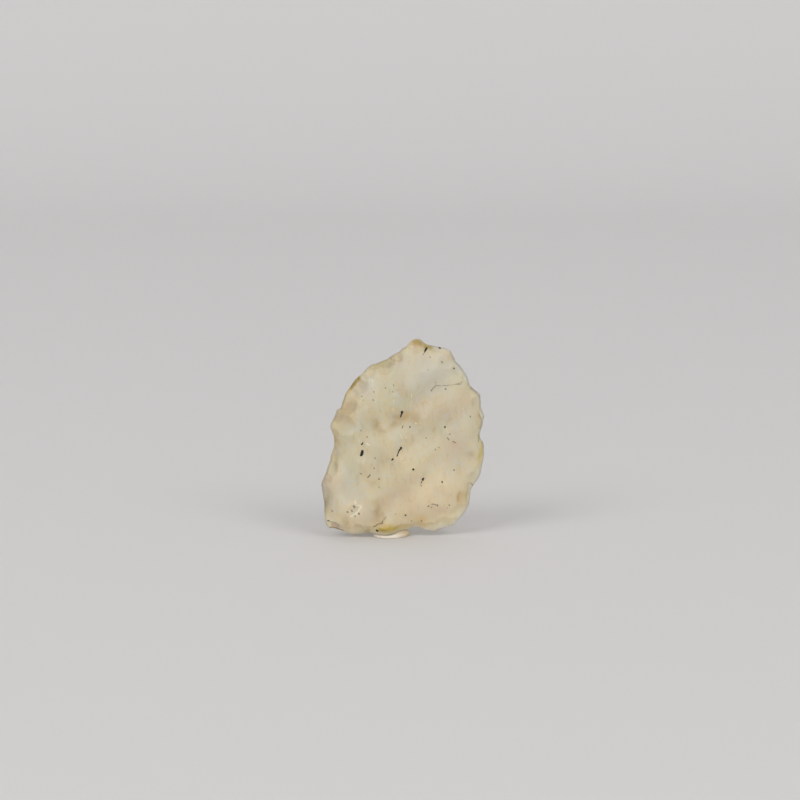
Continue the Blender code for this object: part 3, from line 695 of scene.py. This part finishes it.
# A layer is a colour, then the ranges whose product is its share: a noise or a field, two values of it, and
# the two shares that they give. Most of a noise lies between 0.3 and 0.7, and a field goes from 0 to 1.
desertGlass = {
    "body": "#DBD5B5",
    "tan": "#DCCEAB",
    # painted glow: the light, warm colour that lifts the shaded lower part
    "paintedGlow": "#FAEBCC",
    "pale": "#DAD6CA",
    "rosy": "#DFCBB2",
    "brown": "#B89A66",
    "olive": "#948232",
    "amber": "#CDB44A",
    "ochre": "#DCBD82",
    # white of the bruised glass, bright enough to stand also for a painted glint
    "chalkAndGlint": "#FFF2D8",
    # dark brown of the cracks, and of the painted shade along the rim
    "crackAndRimShade": "#6B5636",
    "fleck": "#4E3E24",
    "speck": "#120E08",
    "bubble": "#F4F0E4",
    "absorption": (0.95, 0.86, 0.45),
    "density": 45.0,
    "ior": 1.46,
    "transmission": 0.22,
    "milkiness": 0.55,
    "milkRadius": (1.0, 0.8, 0.5),
    "milkScale": 3.0,               # mm that light goes in it
    "noises": {                     # size in mm, detail, roughness, distortion, drawn out upwards or not
        "clouds": (5.263, 4.0, 0.6, 0.8, False),
        "blotches": (1.613, 3.0, 0.55, 1.2, False),
        "wisps": (0.7143, 3.0, 0.6, 0.5, True),
        "freckles": (0.3846, 2.0, 0.5, 0.0, False),
        "grain": (0.1923, 3.0, 0.6, 0.0, False),        # finer pits would not show
    },
    "drawnOut": {"Scale": (1.0, 1.0, 0.3), "Rotation": (0.0, 0.12, 0.0)},
    "bubbleSpacing": 0.6667,
    "bodyClouds": (0.40, 0.62, 0.0, 1.0),
    "wornEdges": {                  # a noise added to a field, so that its mark is ragged
        "chalkAndGlint": ("freckles", 0.35, 0.65, -0.22, 0.14),
        "fissures": ("grain", 0.3, 0.7, -0.07, 0.07),
        "faint": ("grain", 0.3, 0.7, -0.07, 0.07),
        "specks": ("grain", 0.3, 0.7, -0.07, 0.07),
    },
    "layers": (
        ("pale", ("blotches", 0.53, 0.61, 0.0, 0.40)),
        ("ochre", ("blotches", 0.44, 0.38, 0.0, 0.20)),
        ("pale", ("wisps", 0.56, 0.66, 0.0, 0.45)),
        ("brown", ("wisps", 0.42, 0.34, 0.0, 0.22)),
        # the zones' own colours over the body; the first of them is the painted glow of the lower part
        *[(name, (name, *whole), ("wisps", 0.25, 0.75, 0.70, 1.25))
          for name in ("paintedGlow", "pale", "rosy", "ochre", "amber", "brown", "olive")],
        ("brown", ("chipShade", *whole), ("blotches", 0.3, 0.6, 0.03, 0.17)),
        ("brown", ("freckles", 0.64, 0.76, 0.0, 0.22)),
        ("bubble", ("bubbles", 0.16, 0.08, 0.0, 0.32)),
        # painted shade: a dark line along the edge, in the dark brown of the cracks, stands for the dark
        # outline that refraction draws at the rim; it is patchy with the clouds and weaker under the painted
        # glow
        ("crackAndRimShade", ("edgeAway", 0.05, 0.45, 1.0, 0.0), ("paintedGlow", 0.2, 0.7, 1.0, 0.15),
         ("clouds", 0.42, 0.56, 0.22, 0.62)),
        ("chalkAndGlint", ("chalkAndGlint", 0.32, 0.62, 0.0, 0.95)),
        ("crackAndRimShade", ("fissures", 0.37, 0.62, 0.0, 0.75)),
        ("fleck", ("faint", 0.36, 0.56, 0.0, 0.75)),
        ("speck", ("specks", 0.38, 0.53, 0.0, 1.0)),
    ),
    "gloss": (0.3, 0.7, 0.48, 0.32),
    "bumps": (("grain", 0.4, 0.04), ("freckles", 0.35, 0.06)),      # noise, strength, height in mm
}


def desertGlassMaterial():
    # Libyan desert glass: almost pure silica glass, milky from tiny bubbles, sand-blasted by the wind to a
    # satin skin, with dark specks and brown clouds in it. It is see-through only where it is thin.
    material = newMaterial("sand-blasted desert glass")
    look = desertGlass
    place = addNode(material, "ShaderNodeTexCoord").outputs["Object"]
    upright = addNode(material, "ShaderNodeMapping", {"Vector": place}, look["drawnOut"]).outputs[0]
    patterns = {}
    for name, (size, detail, roughness, distortion, drawnOut) in look["noises"].items():
        values = {"Scale": perMetre(size), "Detail": detail, "Roughness": roughness, "Distortion": distortion}
        vector = upright if drawnOut else place
        patterns[name] = addNode(material, "ShaderNodeTexNoise", {"Vector": vector}, values).outputs[0]
    patterns["bubbles"] = addNode(material, "ShaderNodeTexVoronoi", {"Vector": place},
                                  {"Scale": perMetre(look["bubbleSpacing"])}).outputs["Distance"]
    for name in ("edgeAway", "chipShade", *frontMarks, *zones):
        patterns[name] = addNode(material, "ShaderNodeAttribute", attribute_name=name).outputs["Fac"]
    for name, (noise, *ends) in look["wornEdges"].items():
        wear = addNode(material, "ShaderNodeMapRange", {"Value": patterns[noise]}, dict(zip(rangeEnds, ends)))
        patterns[name] = addNode(material, "ShaderNodeMath", {0: patterns[name], 1: wear.outputs[0]},
                                 operation="ADD").outputs[0]

    share = addNode(material, "ShaderNodeMapRange", {"Value": patterns["clouds"]},
                    dict(zip(rangeEnds, look["bodyClouds"]))).outputs[0]
    colour = addNode(material, "ShaderNodeMix", {mixShare: share},
                     {mixUnder: linear(look["tan"]), mixOver: linear(look["body"])},
                     data_type="RGBA").outputs[mixResult]
    for over, *ranges in look["layers"]:
        share = None
        for name, *ends in ranges:
            part = addNode(material, "ShaderNodeMapRange", {"Value": patterns[name]},
                           dict(zip(rangeEnds, ends))).outputs[0]
            if share is not None:
                part = addNode(material, "ShaderNodeMath", {0: share, 1: part}, operation="MULTIPLY",
                               use_clamp=True).outputs[0]
            share = part
        colour = addNode(material, "ShaderNodeMix", {mixShare: share, mixUnder: colour},
                         {mixOver: linear(look[over])}, data_type="RGBA").outputs[mixResult]

    links = {}
    for name, strength, height in look["bumps"]:
        bump = addNode(material, "ShaderNodeBump", {"Height": patterns[name], **links},
                       {"Strength": strength, "Distance": height * mm})
        links = {"Normal": bump.outputs[0]}
    gloss = addNode(material, "ShaderNodeMapRange", {"Value": patterns["clouds"]},
                    dict(zip(rangeEnds, look["gloss"])))
    shader = addNode(material, "ShaderNodeBsdfPrincipled",
                     {"Base Color": colour, "Roughness": gloss.outputs[0], **links},
                     {"IOR": look["ior"], "Transmission Weight": look["transmission"],
                      "Subsurface Weight": look["milkiness"], "Subsurface Radius": look["milkRadius"],
                      "Subsurface Scale": look["milkScale"] * mm})
    inner = addNode(material, "ShaderNodeVolumeAbsorption", None,
                    {"Color": (*look["absorption"], 1.0), "Density": look["density"]})
    addNode(material, "ShaderNodeOutputMaterial", {"Surface": shader.outputs[0], "Volume": inner.outputs[0]})
    return material


mountingPutty = {
    "dull": "#E4D8C8",
    "white": "#F4ECDF",
    # darker and yellower: painted shade of the glass on the putty's right end
    "glassShadowTint": "#C9B894",
    "unevenness": 0.8333,           # mm across
    "bump": (0.3, 0.08),            # strength, height in mm
    "gloss": (0.34, 0.5),
    "ior": 1.5,
    "milkiness": 0.3,
    "milkRadius": (1.0, 0.8, 0.6),
    "milkScale": 1.0,
}


def puttyMaterial():
    # Mounting putty: a soft white filled rubber, pressed by fingers, so it is satin and faintly uneven.
    material = newMaterial("pressed white mounting putty")
    look = mountingPutty
    place = addNode(material, "ShaderNodeTexCoord").outputs["Object"]
    uneven = addNode(material, "ShaderNodeTexNoise", {"Vector": place},
                     {"Scale": perMetre(look["unevenness"]), "Detail": 3.0}).outputs[0]
    glassShadowEnd = addNode(material, "ShaderNodeAttribute", attribute_name="glassShadowEnd").outputs["Fac"]
    shade = addNode(material, "ShaderNodeMix", {mixShare: uneven},
                    {mixUnder: linear(look["dull"]), mixOver: linear(look["white"])}, data_type="RGBA")
    # painted shade: the right end is mixed towards a darker, yellower colour for the glass's shadow and the
    # light through the glass
    shade = addNode(material, "ShaderNodeMix", {mixShare: glassShadowEnd, mixUnder: shade.outputs[mixResult]},
                    {mixOver: linear(look["glassShadowTint"])}, data_type="RGBA")
    strength, height = look["bump"]
    bump = addNode(material, "ShaderNodeBump", {"Height": uneven},
                   {"Strength": strength, "Distance": height * mm})
    gloss = addNode(material, "ShaderNodeMapRange", {"Value": uneven},
                    dict(zip(("To Min", "To Max"), look["gloss"])))
    shader = addNode(material, "ShaderNodeBsdfPrincipled",
                     {"Base Color": shade.outputs[mixResult], "Roughness": gloss.outputs[0],
                      "Normal": bump.outputs[0]},
                     {"IOR": look["ior"], "Subsurface Weight": look["milkiness"],
                      "Subsurface Radius": look["milkRadius"], "Subsurface Scale": look["milkScale"] * mm})
    addNode(material, "ShaderNodeOutputMaterial", {"Surface": shader.outputs[0]})
    return material


stage = {
    "paper": "#D4D3D3",
    "roughness": 0.85,
    "shine": 0.2,
    "width": 3000.0,
    "front": -2200.0,
    "bendStart": 340.0,
    "bendRadius": 220.0,
    "bendPoints": 33,
    "wallHeight": 1500.0,
}


def makeStage():
    # A paper sweep: a profile of flat floor, quarter circle and upright wall, carried straight across.
    radius = stage["bendRadius"]
    bendEnd = stage["bendStart"] + radius
    turn = np.linspace(0.0, quarterTurn, stage["bendPoints"])
    y = np.concatenate(([stage["front"]], stage["bendStart"] + radius * np.sin(turn), [bendEnd]))
    z = np.concatenate(([0.0], radius * (1.0 - np.cos(turn)), [stage["wallHeight"]]))
    count = len(y)
    half = 0.5 * stage["width"]
    points = np.concatenate([np.stack((np.full(count, side), y, z), axis=1) for side in (-half, half)])
    faces = [(i, count + i, count + i + 1, i + 1) for i in range(count - 1)]
    # Backdrop paper: pressed wood fibre with a matt pale grey coat, so it is dull and even.
    material = bpy.data.materials.new("matt backdrop paper")
    material.use_nodes = True
    shader = material.node_tree.nodes["Principled BSDF"]
    shader.inputs["Base Color"].default_value = linear(stage["paper"])
    shader.inputs["Roughness"].default_value = stage["roughness"]
    shader.inputs["Specular IOR Level"].default_value = stage["shine"]
    mesh = smoothMesh("sweep", points, faces)
    mesh.materials.append(material)
    addObject("sweep", mesh)


view = {
    "elevation": 12.0,
    "distance": 700.0,
    "aim": (-0.5, -1.46, 24.6),
    "lens": 180.0,
    "sensor": 36.0,
    "nearest": 20.0,
    "farthest": 20000.0,
}


def direction(azimuth, elevation):
    # Azimuth 0 points at the viewer, -Y, and grows to the right; elevation is over the floor.
    a, e = math.radians(azimuth), math.radians(elevation)
    return np.array((math.sin(a) * math.cos(e), -math.cos(a) * math.cos(e), math.sin(e)))


def lookAlong(thing, place, towards):
    # Puts a camera or a lamp at a place and turns its own -Z to face a point.
    thing.location = Vector((place * mm).tolist())
    thing.rotation_euler = Vector(((towards - place) * mm).tolist()).to_track_quat("-Z", "Y").to_euler()


def makeCamera():
    data = bpy.data.cameras.new("camera")
    data.lens = view["lens"]
    data.sensor_width = view["sensor"]
    data.clip_start = view["nearest"] * mm
    data.clip_end = view["farthest"] * mm
    camera = addObject("camera", data)
    aim = np.array(view["aim"])
    lookAlong(camera, aim + view["distance"] * direction(0.0, view["elevation"]), aim)
    bpy.context.scene.camera = camera


lamps = {                           # azimuth, elevation, distance, size, watts, tint
    "left soft box": (-45.0, 39.0, 1500.0, 700.0, 5.9, "#FFFCF8"),
    "right soft box": (45.0, 39.0, 1500.0, 700.0, 4.6, "#FFFCF8"),
    "top soft box": (180.0, 75.0, 1300.0, 1100.0, 1.6, "#FDFDFF"),
    "front fill": (-3.0, 3.0, 1700.0, 1000.0, 6.9, "#FFFDFB"),
}
lampsAim = (0.0, 0.0, 15.0)
room = {"tint": "#FEFEFF", "strength": 0.552}


def makeLight():
    target = np.array(lampsAim)
    for name, (azimuth, elevation, distance, size, watts, tint) in lamps.items():
        data = bpy.data.lights.new(name, "AREA")
        data.shape = "SQUARE"
        data.size = size * mm
        data.energy = watts
        data.color = linear(tint)[:3]
        lookAlong(addObject(name, data), target + distance * direction(azimuth, elevation), target)
    world = bpy.data.worlds.new("soft room light")
    world.use_nodes = True
    background = world.node_tree.nodes["Background"]
    background.inputs["Color"].default_value = linear(room["tint"])
    background.inputs["Strength"].default_value = room["strength"]
    bpy.context.scene.world = world
    bpy.context.scene.view_settings.view_transform = "Standard"


makeCamera()
makeStage()
makeLight()
print("camera, sweep and lights made")
glassPiece = makeFlake(desertGlassMaterial())
print("flake made:", len(glassPiece.data.vertices), "points,", len(glassPiece.data.polygons), "faces")
puttyPiece = makePutty(puttyMaterial())
print("putty made:", len(puttyPiece.data.polygons), "faces")

bpy.context.view_layer.update()
